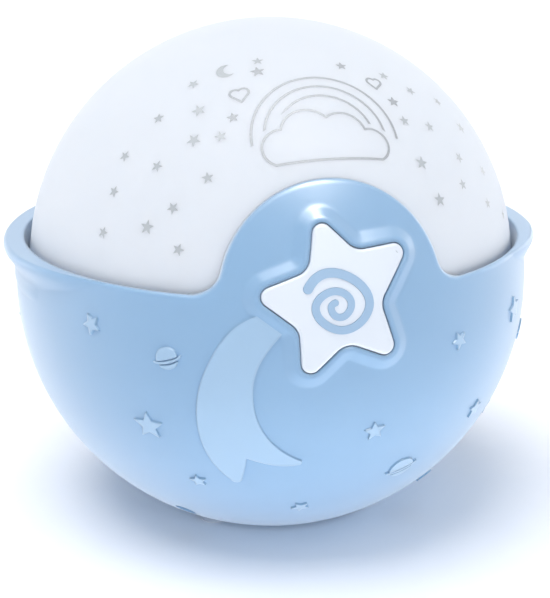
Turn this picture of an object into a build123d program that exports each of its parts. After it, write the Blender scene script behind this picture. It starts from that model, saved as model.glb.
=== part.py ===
"""Star night light projector: a ball-shaped lamp with a star push button.

A blue bowl holds the cells, the sound parts and the controls.  A frosted dome with
star windows sits in the bowl's flared lip, round a lamp tower on a deck.

Frame: millimetres, +Z up, the front (star button) faces -Y, the origin is on the floor
below the middle of the ball.
"""
from build123d import *
from math import asin, cos, degrees, hypot, radians, sin, sqrt
import os

# ---------------------------------------------------------------- driving dimensions
ball_radius = 85.0            # outside of the bowl
wall = 2.4                    # bowl wall
base_drop = 75.0              # flat underside, below the ball's centre
base_thickness = 4.0          # floor of the bowl over the flat underside
foot_height = 1.5             # rubber feet stand out of the underside by this much
rim_rise = 17.0               # bowl rim, above the ball's centre
running_gap = 0.4             # round pieces that slide
seat_gap = 0.1                # between pieces that rest on each other

# lip: the rim flares outwards at the sides and the back, and fades out at the front
rim_thickness = 1.4           # at the front, where there is no lip
rim_rounding = 1.0
lip_reach = 3.5               # how far the lip stands out beyond the ball
lip_start = 38.0              # degrees from the front where the flare begins
lip_full = 82.0               # degrees from the front where it is complete
lip_profile = (               # heights from the rim, and radii from the lip's widest ring
    (-14.0, -3.6),
    (-9.0, -3.3),
    (-5.0, -1.8),
    (-1.8, 0.0),
    (0.0, -0.9),
)

# hump: the bowl rises round the button
hump_radius = 33.0
hump_rise = 15.0              # middle of the hump, above the ball's centre
hump_fillet = 9.0             # where the hump meets the rim
hump_overlap = 5.5            # of the hump over the dome's notch

# dome
rim_gap = 2.3                 # between the rim and the dome
dome_rise = 5.0               # middle of the dome, above the ball's centre
dome_wall = 2.0
dome_flange = 8.0             # inward flange that stands on the deck
flange_thickness = 2.4
dome_boss_radius = 3.2
dome_boss_height = 8.0
dome_boss_angles = (-62, 4, 60, 120, 176, 242)

# star button
button_rise = 16.7            # middle of the star, above the ball's centre
# corners before rounding: reach from the star's middle, and degrees round the button's axis
star_tips = ((25.1, 103.5), (27.0, 33.9), (26.4, -47.5), (26.8, -114.7), (25.3, 174.2))
star_valleys = ((14.1, 69.3), (12.0, -9.0), (12.7, -83.8), (14.6, -145.9), (12.0, 136.4))
tip_rounding = 2.9
valley_rounding = 5.7
star_gap = 0.25               # between the star and its hole
collar_width = 5.0            # low mound round the star's hole
collar_height = 1.8
collar_slope = (3.4, 2.0)     # its outer side: across, and down to below the bowl's surface
button_height = 2.2           # star face, above the ball
button_travel = 1.6
button_rounding = 1.2
button_skin = 2.0
rubber_height = 4.2           # rubber dome under the star
button_flange = 1.6           # keeps the star in its hole
plunger_radius = 4.0

# spiral on the star
spiral_line = (               # middle of the line from the outer end, about the star's middle
    (-9.4, 3.3),
    (-0.3, 7.1),
    (8.2, -2.2),
    (0.0, -8.9),
    (-7.4, -1.5),
    (-1.0, 2.2),
    (2.8, -1.8),
    (-0.8, -5.2),
    (-3.1, -2.3),
    (-1.8, -1.0),
)
spiral_widths = (2.7, 1.9)    # outer end, inner end
spiral_proud = 0.3
spiral_depth = 0.6

# relief on the bowl
relief_height = 0.6
comet_azimuth = -12.0
comet_latitude = -22.0

relief_waist = 0.47           # inner corners of a small star, as a share of its points
planet_groove = 0.4           # between a planet and its ring

# windows in the dome
window_radius = 1.9           # small stars
big_window_radius = 2.3
window_waist = 0.42
moon_radius = 2.9
window_gap = 0.05

# line picture let into the dome: a cloud under a rainbow, with hearts round it
picture_azimuth = 2.0
picture_latitude = 47.5
picture_line = 0.7
picture_depth = 0.35
cloud_puffs = ((-13.2, -10.6, 5.8), (-5.0, -7.0, 8.0), (5.6, -7.6, 7.0), (13.8, -11.2, 5.2))
cloud_base = -15.8
cloud_middle = (26.0, 7.5)     # straight part over the base
cloud_halo = 1.8               # between the cloud and the rainbow's ends
rainbow_radii = (22.0, 18.3, 14.6)
rainbow_middle = (0.5, -8.5)
picture_hearts = ((-21.5, 11.0, 2.8), (20.5, 13.0, 2.4))
picture_stars = ((-14.5, 18.5, 2.2), (25.0, 5.5, 2.0), (-25.0, 2.5, 1.8), (11.5, 19.0, 1.8))

# button works, behind the star
button_board_size = (20.0, 16.0)
board_pegs = ((-8.0, 6.0), (8.0, -6.0))
peg_hole = 0.8
carrier_rim = (1.4, 2.0)      # wall, height
rubber_base = (7.0, 6.4, 5.4)   # outside at its foot, outside above its flange, inside
rubber_crown = (3.6, 2.4)     # outside, inside
rubber_skin = 1.8             # over the hollow

# deck and what stands on it
deck_thickness = 2.4
deck_gap = 0.75               # between the deck's edge and the bowl
deck_notch_depth = 20.0       # deck's cut-out behind the button
post_offset = 37.0            # housing posts, along X and along Y
post_radius = 5.0
post_top = -10.0              # from the ball's centre
tower_base = 18.0
tower_neck = 9.5
tower_top = 12.0
tower_height = 20.0
tower_wall = 2.0
reflector_radius = 24.0
reflector_rise = 7.0
reflector_wall = 1.0
led_board_radius = 11.0
board_thickness = 1.6
wire_hole = 5.0               # through the deck
tower_bore = 3.0              # for the wires, up through the lamp
led_count = 3
led_ring = 6.0                # middle of the LEDs from the lamp's axis
led_radius = 2.5
led_collar = 0.4              # wider foot of an LED
led_height = 5.0

# main board, under the deck
main_board = (62.0, 42.0)
board_drop = 10.0             # standoffs under the deck
chips = ((-8.0, 2.0, 12.0, 12.0), (12.0, -6.0, 5.0, 4.0))   # middle, and sides
chip_height = 1.8
capacitor = (3.2, 8.0)        # radius, height
capacitor_places = ((8.0, 10.0), (16.0, 10.0))
socket_size = (6.0, 4.4, 5.0)
socket_wall = (0.7, 1.0)
socket_depth = 3.5
socket_places = ((-18.0, 17.0), (-8.0, 17.0), (2.0, -17.0), (16.0, 17.0))

# cells
cell_diameter = 10.5
cell_length = 44.5
cell_count = 3
cell_gap = 0.6
spring_length = 4.4
plate_thickness = 0.5
tray_wall = 1.6
door_thickness = 2.0
door_ledge = 2.4              # the door rests on this much of the floor
door_tongue = 9.0             # takes the screw
door_gap = 0.3
hook_places = (-5.55, 5.55)   # between the cells
hook_width = 2.2
hook_stem = 1.2
hook_reach = 1.9
hook_height = 1.2
hook_lift = 0.5               # above the floor, so that the door can tilt
hook_inset = 0.4              # from the bay's end
tongue_width = 9.0

# rubber feet
foot_spread = (26.0, 25.5)    # from the middle, along X and along Y
foot_radius = 4.0
foot_recess = 0.8
foot_slack = 0.1

# controls, in a flat pocket at the back
panel_latitude = -7.0
panel_size = (48.0, 15.6)
panel_depth = 81.1            # panel face, from the ball's centre
panel_thickness = 2.0
knob_size = (8.0, 5.6, 2.6)
knob_stem = (4.0, 2.6)
knob_offset = 10.5
knob_travel = 3.4             # each way
panel_slack = 0.2             # between the panel's edge and its pocket
knob_lift = 0.5               # knob above the panel
switch_depth = 3.4
switch_floor = 1.0
ridge_pitch = 1.6             # finger ridges on a knob
control_board_width = 14.0

# speaker, low at the back
speaker_latitude = -38.0
speaker_radius = 18.0
speaker_depth = 15.0
speaker_face = 74.5           # from the ball's centre
speaker_edge = 1.5            # thickness of its flange
speaker_sheet = 0.5           # pressed steel
speaker_seat = 1.8            # width of the bowl's ring under the flange
magnet_radius = 10.0
magnet_height = 5.0
cone_depth = 7.0

# screws: head radius, head height, shank radius
small_screw = (2.2, 1.4, 1.1)
long_screw = (2.9, 2.0, 1.45)
clamp_screw = (4.0, 1.4, 1.1)
pilot_gap = 0.03
screw_slack = 0.2

# ---------------------------------------------------------------- derived places
inner_radius = ball_radius - wall
mid_wall = ball_radius - wall / 2        # what is fused to the bowl starts in its wall
rim_radius = sqrt(ball_radius**2 - rim_rise**2)
lip_bore = rim_radius - rim_thickness
lip_root = lip_bore + 0.1                # the lip's hidden root at the front
lip_radius = ball_radius + lip_reach
dome_radius = hypot(lip_bore - rim_gap, rim_rise - dome_rise)
dome_notch = hump_radius - hump_overlap  # opening behind the hump, round the button's works
centre_z = foot_height + base_drop
ball_centre = (0, 0, centre_z)
dome_centre = (0, 0, centre_z + dome_rise)
rim_z = centre_z + rim_rise
deck_top = centre_z + dome_rise
deck_bottom = deck_top - deck_thickness
deck_radius = inner_radius - deck_gap
deck_notch = dome_notch + 0.5
floor_top = foot_height + base_thickness
button_tilt = degrees(asin(button_rise / ball_radius))

os.makedirs("parts", exist_ok=True)


def save(part, name):
    """Label a finished piece and write its file."""
    part.label = name
    export_step(part, f"parts/{name}.step")


def ball_plane(azimuth, latitude, radius, centre=ball_centre):
    """Plane that faces away from a ball's centre; azimuth 0 is the front, positive to +X."""
    a = radians(azimuth)
    t = radians(latitude)
    normal = Vector(sin(a) * cos(t), -cos(a) * cos(t), sin(t))
    return Plane(origin=Vector(*centre) + normal * radius, x_dir=(cos(a), sin(a), 0), z_dir=normal)


def ball_patch(outline, plane, low, high, centre=ball_centre, reach=20.0):
    """Patch of a ball shell between two radii, with this outline along the plane's normal."""
    with BuildPart() as patch:
        with BuildSketch(plane):
            add(outline)
        extrude(amount=reach, both=True)
        with Locations(centre):
            Sphere(high, mode=Mode.INTERSECT)
            Sphere(low, mode=Mode.SUBTRACT)
    return patch.part


def grown(outline, amount):
    """The outline, offset outwards with round corners."""
    with BuildSketch() as larger:
        add(outline)
        offset(amount=amount, kind=Kind.ARC)
    return larger.sketch


def polar(radius, angle):
    return (radius * cos(radians(angle)), radius * sin(radians(angle)))


def ring_radius(radius, height):
    """Radius of a ball's ring at a height from its centre."""
    return sqrt(radius**2 - height**2)


def arc_about(centre, start, end):
    """Arc from start to end about a point on the axis at this height."""
    middle = Vector((start[0] + end[0]) / 2, (start[1] + end[1]) / 2 - centre)
    middle = middle.normalized() * hypot(start[0], start[1] - centre)
    return ThreePointArc(start, (middle.X, middle.Y + centre), end)


def edges_on_ball(part, radius):
    """Edges that lie on a ball about the bowl's middle."""
    return part.edges().filter_by(lambda e: abs((e @ 0.3 - Vector(*ball_centre)).length - radius) < 0.01)


def prism(outline, plane, reach):
    """Separate solid that crosses a surface at the plane."""
    with BuildSketch(plane) as mark:
        add(outline)
    return extrude(mark.sketch, amount=reach, both=True, mode=Mode.PRIVATE)


def behind(plane):
    """The same place, facing the other way."""
    return Plane(origin=plane.origin, x_dir=plane.x_dir, z_dir=-plane.z_dir)


def mirrored(points):
    """Points of a plane, as its other side sees them."""
    return [(x, -y) for x, y in points]


def drill(plane, points, radius, depth):
    """Round cut at each point of the plane, into its back."""
    with BuildSketch(plane) as marks:
        with Locations(*points):
            Circle(radius)
    extrude(marks.sketch, amount=-depth, mode=Mode.SUBTRACT)


def stand(plane, points, radius, height):
    """Round post at each point of the plane, out of its front."""
    with BuildSketch(plane) as marks:
        with Locations(*points):
            Circle(radius)
    extrude(marks.sketch, amount=height)


def screw_group(name, plane, points, shank_length, size=small_screw):
    """Pan-head screws seated on the plane, with their shanks behind it."""
    head_radius, head_height, shank_radius = size
    slot_length = head_radius * 1.3
    slot_width = head_radius * 0.3
    with BuildPart() as group:
        stand(plane, points, head_radius, head_height)
        stand(plane, points, shank_radius, -shank_length)
        with BuildSketch(plane.offset(head_height)):
            with Locations(*points):
                Rectangle(slot_length, slot_width)
                Rectangle(slot_width, slot_length)
        extrude(amount=-head_height / 2, mode=Mode.SUBTRACT)
    save(group.part, name)


# ---------------------------------------------------------------- outlines
button_plane = ball_plane(0, button_tilt, ball_radius)

with BuildSketch() as star_outline:
    # tips and valleys alternate as the angles fall
    corners = []
    for tip, valley in zip(star_tips, star_valleys):
        corners.append(polar(*tip))
        corners.append(polar(*valley))
    with BuildLine():
        Polyline(*corners, close=True)
    make_face()
    by_reach = star_outline.vertices().sort_by(lambda v: hypot(v.X, v.Y))
    fillet(by_reach[: len(star_valleys)], radius=valley_rounding)
    by_reach = star_outline.vertices().sort_by(lambda v: hypot(v.X, v.Y))
    fillet(by_reach[-len(star_tips) :], radius=tip_rounding)


def small_star(radius, waist, turn=0.0):
    """Five-pointed star; waist is the reach of its inner corners, as a share of its points."""
    points = []
    for k in range(10):
        reach = radius if k % 2 == 0 else radius * waist
        points.append(polar(reach, 90 + turn + 36 * k))
    with BuildSketch() as star:
        with BuildLine():
            Polyline(*points, close=True)
        make_face()
    return star.sketch


def ring_front(radius, spread):
    """Front half of the ring of a planet of this radius, wider by spread all round."""
    with BuildSketch() as band:
        Ellipse(radius * 1.32 + spread, radius * 0.46 + spread)
        Ellipse(radius * 1.12 - spread, radius * 0.22 - spread, mode=Mode.SUBTRACT)
        Rectangle(radius * 4, radius * 2, align=(Align.CENTER, Align.MIN), mode=Mode.SUBTRACT)
    return band.sketch


def planet(radius, tilt):
    """Small planet with a ring across its front, set off by a fine groove."""
    with BuildSketch() as shape:
        Circle(radius)
        add(ring_front(radius, planet_groove), mode=Mode.SUBTRACT)
        add(ring_front(radius, 0))
    return Rot(0, 0, tilt) * shape.sketch


def heart(size):
    """Heart: two round lobes over a pointed foot."""
    side = (size * 0.84, -size * 0.36)
    with BuildSketch() as shape:
        with Locations((-size * 0.42, 0), (size * 0.42, 0)):
            Circle(size * 0.55)
        with BuildLine():
            Polyline((-side[0], side[1]), (0, -size * 1.3), side, (0, size * 0.3), close=True)
        make_face()
    return shape.sketch


# ---------------------------------------------------------------- bowl
def lip_section(height, radius):
    """Closed outline of the lip at a height from the rim; radius is the lip's at the back."""
    points = []
    for step in range(36):
        azimuth = step * 10 - 180
        share = min(max((abs(azimuth) - lip_start) / (lip_full - lip_start), 0), 1)
        share = share * share * (3 - 2 * share)
        reach = lip_root + (radius - lip_root) * share
        points.append((reach * sin(radians(azimuth)), -reach * cos(radians(azimuth))))
    with BuildSketch(Plane.XY.offset(rim_z + height)) as section:
        with BuildLine():
            Spline(*points, periodic=True)
        make_face()
    return section.sketch.face()


# relief motifs: azimuth, latitude, size in degrees and millimetres
relief_stars = (
    (-51.4, 2.9, 3.4),
    (-39.6, -17.2, 5.0),
    (-30.9, -31.7, 2.8),
    (-5.2, -41.5, 3.0),
    (8.7, -17.8, 3.4),
    (27.6, -1.2, 3.0),
    (40.0, -20.8, 3.6),
    (50.3, -0.4, 4.4),
    (64.0, -30.0, 4.4),
    (82.0, -8.0, 3.0),
)
# planets also have a tilt
relief_planets = (
    (-33.7, -1.1, 3.4, 18),
    (20.0, -31.3, 4.2, 18),
    (66.0, -10.0, 3.6, -20),
    (46.0, -46.0, 3.0, 16),
)

with BuildSketch() as comet_tail:
    with BuildLine():
        Spline(
            (3.0, 45.5),
            (-5.0, 43.6),
            (-11.8, 40.2),
            (-18.6, 31.4),
            (-22.6, 20.8),
            (-23.2, 8.9),
            (-20.0, -3.2),
            (-13.7, -12.2),
        )
        ThreePointArc((-13.7, -12.2), (-12.2, -13.4), (-10.6, -12.4))
        Spline((-10.6, -12.4), (-9.6, -6.8), (-9.0, -1.8))
        Spline((-9.0, -1.8), (-3.8, -3.7), (1.5, -4.8), (6.2, -4.6))
        ThreePointArc((6.2, -4.6), (7.3, -3.7), (6.4, -2.7))
        Spline((6.4, -2.7), (-0.2, 3.0), (-5.0, 10.5), (-7.1, 19.5), (-6.0, 28.5), (-0.5, 37.0), (5.0, 42.5))
        Line((5.0, 42.5), (3.0, 45.5))
    make_face()


motifs = []
for turn in (0, 180):
    for azimuth, latitude, size in relief_stars:
        star = small_star(size, relief_waist, turn=azimuth % 40)
        motifs.append(prism(star, ball_plane(azimuth + turn, latitude, ball_radius), 2 * wall))
    for azimuth, latitude, size, tilt in relief_planets:
        motifs.append(prism(planet(size, tilt), ball_plane(azimuth + turn, latitude, ball_radius), 2 * wall))

with BuildPart() as relief:
    add(motifs)
    with Locations(ball_centre):
        Sphere(ball_radius + relief_height, mode=Mode.INTERSECT)
        Sphere(mid_wall, mode=Mode.SUBTRACT)

comet_plane = ball_plane(comet_azimuth, comet_latitude, ball_radius)
comet = ball_patch(comet_tail.sketch, comet_plane, mid_wall, ball_radius + relief_height)

with BuildPart() as collar:
    ring = grown(star_outline.sketch, collar_width) - grown(star_outline.sketch, star_gap)
    add(ball_patch(ring, button_plane, mid_wall, ball_radius + collar_height))
    spheres = collar.faces().filter_by(GeomType.SPHERE)
    crest = spheres.sort_by(lambda f: f.distance_to(Vector(*ball_centre)))[-1]
    chamfer(crest.outer_wire().edges(), length=collar_slope[0], length2=collar_slope[1], reference=crest)

# places on the button's axis, measured from the ball's centre
flange_outer = inner_radius - 0.15
flange_inner = flange_outer - 1.2
carrier_radius = dome_notch - 2.0
carrier_face = 74.9
carrier_thickness = 2.0
carrier_post_radius = 2.5
carrier_posts = (68.0, -79.0, 137.0)     # between the star's tips
carrier_post_reach = 21.5
carrier_points = [polar(carrier_post_reach, angle) for angle in carrier_posts]

# places in the base
bay_width = cell_count * cell_diameter + (cell_count + 1) * cell_gap
bay_length = cell_length + spring_length + 2 * plate_thickness + 0.6
door_width = bay_width + 2 * door_ledge
door_length = bay_length + 2 * door_ledge
door_screw_x = door_length / 2 + door_tongue / 2
cell_axis_z = foot_height + door_thickness + 0.3 + cell_diameter / 2
tray_top = cell_axis_z + cell_diameter / 2 + 0.4 + tray_wall
tray_ear = (12.0, 7.0)
tray_ear_y = bay_width / 2 + tray_wall + tray_ear[1] / 2
foot_points = [(x * foot_spread[0], y * foot_spread[1]) for x in (-1, 1) for y in (-1, 1)]
post_points = [(x, y) for x in (-post_offset, post_offset) for y in (-post_offset, post_offset)]
shoulder_z = centre_z + post_top - 8.0

# places at the back
panel_plane = ball_plane(180, panel_latitude, panel_depth)
panel_screws_at = [(x, 3.4) for x in (-20.5, 20.5)]
board_screws_at = [(x, -3.4) for x in (-20.5, 20.5)]
frame_depth = 5.6                        # pocket frame behind the panel's face
speaker_plane = ball_plane(180, speaker_latitude, speaker_face)
speaker_post_reach = speaker_radius + 4.2
speaker_posts = [polar(speaker_post_reach, angle) for angle in (90, 210, 330)]
grille_rows = (0, 4.2, 8.4, 12.6)

pilot_radius = small_screw[2] + pilot_gap
screw_hole = small_screw[2] + screw_slack
door_screw_hole = small_screw[2] + 0.3
grille_hole = 1.3
cleared_radius = dome_radius + running_gap
meet_rise = (inner_radius**2 - cleared_radius**2 + dome_rise**2) / (2 * dome_rise)

slot_rounding = 0.4
slot_length = knob_stem[0] + 2 * (knob_travel + running_gap)
slot_width = knob_stem[1] + 0.5
switch_length = slot_length + 2.4
switch_width = slot_width + 2.4

# fittings inside the bowl, before they are trimmed to its wall
post_seat = Plane.XY.offset(centre_z + post_top)
panel_back = panel_plane.offset(-frame_depth)
carrier_seat = ball_plane(0, button_tilt, carrier_face)
tray_seat = Plane.XY.offset(floor_top)
tray_screws_at = [(x, y * tray_ear_y) for x in (-13.0, 13.0) for y in (-1, 1)]

with BuildPart() as fittings:
    stand(post_seat, post_points, post_radius, -base_drop)
    stand(speaker_plane.offset(-speaker_edge), speaker_posts, 2.8, 20)
    with BuildSketch(speaker_plane):
        Circle(speaker_radius + 1.2)
        Circle(speaker_radius - speaker_seat, mode=Mode.SUBTRACT)
    extrude(amount=20)
    with BuildSketch(panel_back):
        RectangleRounded(panel_size[0] + 6, panel_size[1] + 6, 5)
    extrude(amount=20)
    stand(carrier_seat, carrier_points, carrier_post_radius, 20)
    with BuildSketch(tray_seat):
        with Locations((door_screw_x, 0)):
            Circle(4)
    extrude(amount=3)
    with Locations(ball_centre):
        Sphere(mid_wall, mode=Mode.INTERSECT)

with BuildPart() as base_bowl:
    with Locations(ball_centre):
        Sphere(ball_radius)
    # the rim is level, with the hump rising in front
    with BuildSketch(Plane.XZ.offset(40)) as front_outline:
        with Locations((0, centre_z - 30)):
            Rectangle(4 * (hump_radius + hump_fillet), 2 * (rim_rise + 30))
        with Locations((0, centre_z + hump_rise)):
            Circle(hump_radius)
        inside_corners = front_outline.vertices().filter_by(
            lambda v: abs(v.Y - rim_z) < 0.01 and abs(v.X) < 1.2 * hump_radius
        )
        fillet(inside_corners, radius=hump_fillet)
    front_block = extrude(amount=80, mode=Mode.PRIVATE)
    with BuildSketch(Plane.XY.offset(foot_height)):
        Circle(2 * ball_radius)
    below_rim = extrude(amount=rim_z - foot_height, mode=Mode.PRIVATE)
    add(front_block.fuse(below_rim), mode=Mode.INTERSECT)
    with BuildSketch(Plane.XY):
        Circle(2 * ball_radius)
    extrude(amount=foot_height, mode=Mode.SUBTRACT)
    rim_edges = edges_on_ball(base_bowl, ball_radius).filter_by(lambda e: e.center().Z > rim_z - 0.01)
    fillet(rim_edges, radius=rim_rounding)
    loft([lip_section(height, lip_radius + change) for height, change in lip_profile])
    # hollow: clear of the dome, up through the rim, over a thick floor
    with BuildSketch(Plane.XZ):
        with BuildLine():
            floor_edge = (ring_radius(inner_radius, centre_z - floor_top), floor_top)
            bore_edge = (lip_bore, centre_z + ring_radius(inner_radius, lip_bore))
            rim_edge = (ring_radius(inner_radius, rim_rise), rim_z)
            dome_edge = (ring_radius(inner_radius, meet_rise), centre_z + meet_rise)
            Line((0, floor_top), floor_edge)
            arc_about(centre_z, floor_edge, bore_edge)
            Line(bore_edge, (lip_bore, rim_z))
            Line((lip_bore, rim_z), rim_edge)
            arc_about(centre_z, rim_edge, dome_edge)
            arc_about(centre_z + dome_rise, dome_edge, (0, centre_z + dome_rise + cleared_radius))
            Line((0, centre_z + dome_rise + cleared_radius), (0, floor_top))
        make_face()
    revolve(axis=Axis.Z, mode=Mode.SUBTRACT)
    add(fittings)
    add(comet)
    add(relief.part)
    # star hole, which the collar lines, and the carrier's pilot holes
    with BuildSketch(button_plane):
        add(grown(star_outline.sketch, 2 * star_gap))
    extrude(amount=30, both=True, mode=Mode.SUBTRACT)
    add(collar.part)
    drill(carrier_seat.offset(6), carrier_points, pilot_radius, 6)
    # housing screws come up through the posts from recesses in the underside
    drill(Plane.XY.offset(shoulder_z), post_points, long_screw[0] + 0.4, base_drop)
    drill(post_seat, post_points, long_screw[2] + 0.25, 10)
    # cell bay, door seat, door screw and feet
    with BuildSketch(Plane.XY):
        RectangleRounded(bay_length, bay_width, 2)
    extrude(amount=floor_top + 1, mode=Mode.SUBTRACT)
    with BuildSketch(Plane.XY):
        RectangleRounded(door_length + 2 * door_gap, door_width + 2 * door_gap, 3 + door_gap)
        with Locations((door_length / 2, 0)):
            RectangleRounded(2 * (door_tongue + door_gap), tongue_width + 2 * door_gap, 4)
    extrude(amount=foot_height + door_thickness, mode=Mode.SUBTRACT)
    drill(Plane.XY.offset(floor_top + 2), [(door_screw_x, 0)], door_screw_hole, 6)
    drill(Plane.XY.offset(foot_height + foot_recess), foot_points, foot_radius + foot_slack, 2)
    drill(tray_seat, tray_screws_at, pilot_radius, 3)
    # control pocket
    with BuildSketch(panel_plane.offset(-panel_thickness)):
        RectangleRounded(panel_size[0], panel_size[1], 3)
    extrude(amount=20, mode=Mode.SUBTRACT)
    with BuildSketch(panel_back.offset(-1)):
        RectangleRounded(2 * knob_offset + switch_length + 1, switch_width + 4, 2)
    extrude(amount=20, mode=Mode.SUBTRACT)
    drill(panel_plane.offset(-panel_thickness), panel_screws_at, pilot_radius, 3.4)
    drill(panel_back.offset(3), board_screws_at, pilot_radius, 3)
    # speaker grille and clamp posts
    with BuildSketch(speaker_plane.offset(4)):
        Circle(grille_hole)
        for reach in grille_rows[1:]:
            with PolarLocations(reach, round(reach / grille_rows[1]) * 6):
                Circle(grille_hole)
    extrude(amount=20, mode=Mode.SUBTRACT)
    drill(speaker_plane.offset(4), speaker_posts, pilot_radius, 6)
save(base_bowl.part, "base_bowl")

# ---------------------------------------------------------------- star button
button_face = ball_radius + button_height
spiral_floor = button_face - spiral_depth
spiral_face = button_face + spiral_proud
plunger_end = carrier_face + board_thickness + rubber_height
plunger_back = button_plane.offset(plunger_end - ball_radius)


with BuildLine():
    spiral_path = Spline(*spiral_line)
spiral_steps = 4 * len(spiral_line)


def spiral_outline(spread):
    """Flat spiral that tapers inwards, with round ends; spread widens it on each side."""
    outside = []
    inside = []
    for step in range(spiral_steps + 1):
        share = step / spiral_steps
        half_width = (spiral_widths[0] * (1 - share) + spiral_widths[1] * share) / 2 + spread
        across = (spiral_path % share).rotate(Axis.Z, 90) * half_width
        outside.append(spiral_path @ share + across)
        inside.append(spiral_path @ share - across)
    with BuildSketch() as outline:
        with BuildLine():
            Spline(*outside)
            Spline(*inside)
            Line(outside[0], inside[0])
            Line(outside[-1], inside[-1])
        make_face()
        with Locations(spiral_line[0]):
            Circle(spiral_widths[0] / 2 + spread)
        with Locations(spiral_line[-1]):
            Circle(spiral_widths[1] / 2 + spread)
    return outline.sketch


with BuildPart() as star_button:
    with BuildSketch(button_plane):
        add(star_outline.sketch)
    extrude(amount=12, both=True)
    with Locations(ball_centre):
        Sphere(button_face, mode=Mode.INTERSECT)
        Sphere(flange_inner, mode=Mode.SUBTRACT)
    fillet(edges_on_ball(star_button, button_face), radius=button_rounding)
    # hollow behind the skin, with a flange round the mouth and a plunger in the middle
    with BuildSketch(button_plane.offset(button_height - button_skin - 0.6)):
        add(grown(star_outline.sketch, -button_skin))
    extrude(amount=-12, mode=Mode.SUBTRACT)
    flange_ring = grown(star_outline.sketch, button_flange) - grown(star_outline.sketch, -button_skin)
    add(ball_patch(flange_ring, button_plane, flange_inner, flange_outer))
    with BuildSketch(plunger_back):
        Circle(plunger_radius)
    extrude(amount=ball_radius - plunger_end)
    spiral_seat = ball_patch(spiral_outline(window_gap), button_plane, spiral_floor, 2 * ball_radius)
    add(spiral_seat, mode=Mode.SUBTRACT)
save(star_button.part, "star_button")

star_spiral = ball_patch(spiral_outline(0), button_plane, spiral_floor + window_gap, spiral_face)
save(star_spiral, "star_spiral")

# rubber dome that pushes the star back out
board_seat = carrier_seat.offset(board_thickness)
with BuildPart() as button_rubber:
    with BuildSketch(board_seat):
        Circle(rubber_base[0])
    with BuildSketch(board_seat.offset(1.0)):
        Circle(rubber_base[1])
    with BuildSketch(board_seat.offset(rubber_height - 0.05)):
        Circle(rubber_crown[0])
    loft(ruled=True)
    with BuildSketch(board_seat):
        Circle(rubber_base[2])
    with BuildSketch(board_seat.offset(rubber_height - rubber_skin)):
        Circle(rubber_crown[1])
    loft(ruled=True, mode=Mode.SUBTRACT)
save(button_rubber.part, "button_rubber_dome")

with BuildPart() as button_board:
    with BuildSketch(carrier_seat):
        RectangleRounded(*button_board_size, 1.5)
    extrude(amount=board_thickness)
    drill(board_seat, board_pegs, peg_hole, 2 * board_thickness)
save(button_board.part, "button_board")

with BuildPart() as button_carrier:
    stand(carrier_seat, [(0, 0)], carrier_radius, -carrier_thickness)
    drill(carrier_seat, carrier_points, screw_hole, carrier_thickness)
    drill(carrier_seat, board_pegs, peg_hole, carrier_thickness)
    # stiffening rim on the back
    with BuildSketch(carrier_seat.offset(-carrier_thickness)):
        Circle(carrier_radius)
        Circle(carrier_radius - carrier_rim[0], mode=Mode.SUBTRACT)
    extrude(amount=-carrier_rim[1])
save(button_carrier.part, "button_carrier")

carrier_back = behind(carrier_seat.offset(-carrier_thickness))
screw_group("carrier_screws", carrier_back, mirrored(carrier_points), carrier_thickness + 4)

# ---------------------------------------------------------------- dome
# window stars: azimuth and latitude on the dome, and whether it is a big one
dome_stars = (
    (-53.8, 34.7, False),
    (-53.3, 18.0, False),
    (-53.1, 26.8, False),
    (-48.4, 44.5, False),
    (-42.7, 54.5, False),
    (-42.7, 33.6, False),
    (-41.5, 20.7, True),
    (-36.0, 47.5, True),
    (-35.9, 25.2, False),
    (-34.5, 40.2, True),
    (-33.3, 16.9, False),
    (-28.6, 32.1, False),
    (-27.1, 41.5, False),
    (-19.4, 63.0, False),
    (27.9, 33.0, True),
    (29.3, 43.1, False),
    (29.6, 24.5, True),
    (35.6, 55.5, False),
    (38.2, 40.5, False),
    (40.1, 26.2, False),
    (42.5, 50.0, False),
    (43.8, 31.9, False),
    (49.4, 20.1, False),
    (53.3, 45.3, False),
    (54.1, 26.9, False),
    (55.5, 37.6, True),
    (59.3, 15.2, False),
)
# the picture leaves room at the front only
back_stars = (
    (160.0, 44.0, False),
    (168.0, 20.0, True),
    (176.0, 52.0, True),
    (178.0, 30.0, False),
    (190.0, 18.0, False),
    (194.0, 40.0, False),
)
side_stars = (
    (94.0, 12.0, False),
    (99.0, 27.0, True),
    (108.0, 39.0, False),
    (112.0, 19.0, False),
    (-107.0, 10.0, True),
    (-112.0, 21.0, False),
    (-115.0, 31.0, False),
)
dome_moon = (-32.2, 59.2)


def dome_plane(azimuth, latitude):
    return ball_plane(azimuth, latitude, dome_radius - dome_wall / 2, dome_centre)


def window_prisms(shrink):
    """Star and moon prisms that cross the dome's wall."""
    places = [(azimuth + turn, latitude, big) for turn in (0, 180) for azimuth, latitude, big in dome_stars]
    prisms = []
    for azimuth, latitude, big in places + list(back_stars) + list(side_stars):
        radius = big_window_radius if big else window_radius
        star = small_star(radius - shrink, window_waist, turn=azimuth * 7 % 72)
        prisms.append(prism(star, dome_plane(azimuth, latitude), 2 * dome_wall))
    with BuildSketch() as moon:
        Circle(moon_radius - shrink)
        with Locations((moon_radius * 0.45, moon_radius * 0.35)):
            Circle(moon_radius * 0.8 + shrink, mode=Mode.SUBTRACT)
    prisms.append(prism(moon.sketch, dome_plane(*dome_moon), 2 * dome_wall))
    return prisms


def clear_below(height):
    """Cut away the sketch below this height."""
    with Locations((0, height)):
        Rectangle(ball_radius, ball_radius, align=(Align.CENTER, Align.MAX), mode=Mode.SUBTRACT)


def line_of(outline, spread):
    """Thin line along the edge of an outline."""
    return grown(outline, picture_line / 2 + spread) - grown(outline, -picture_line / 2 - spread)


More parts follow.
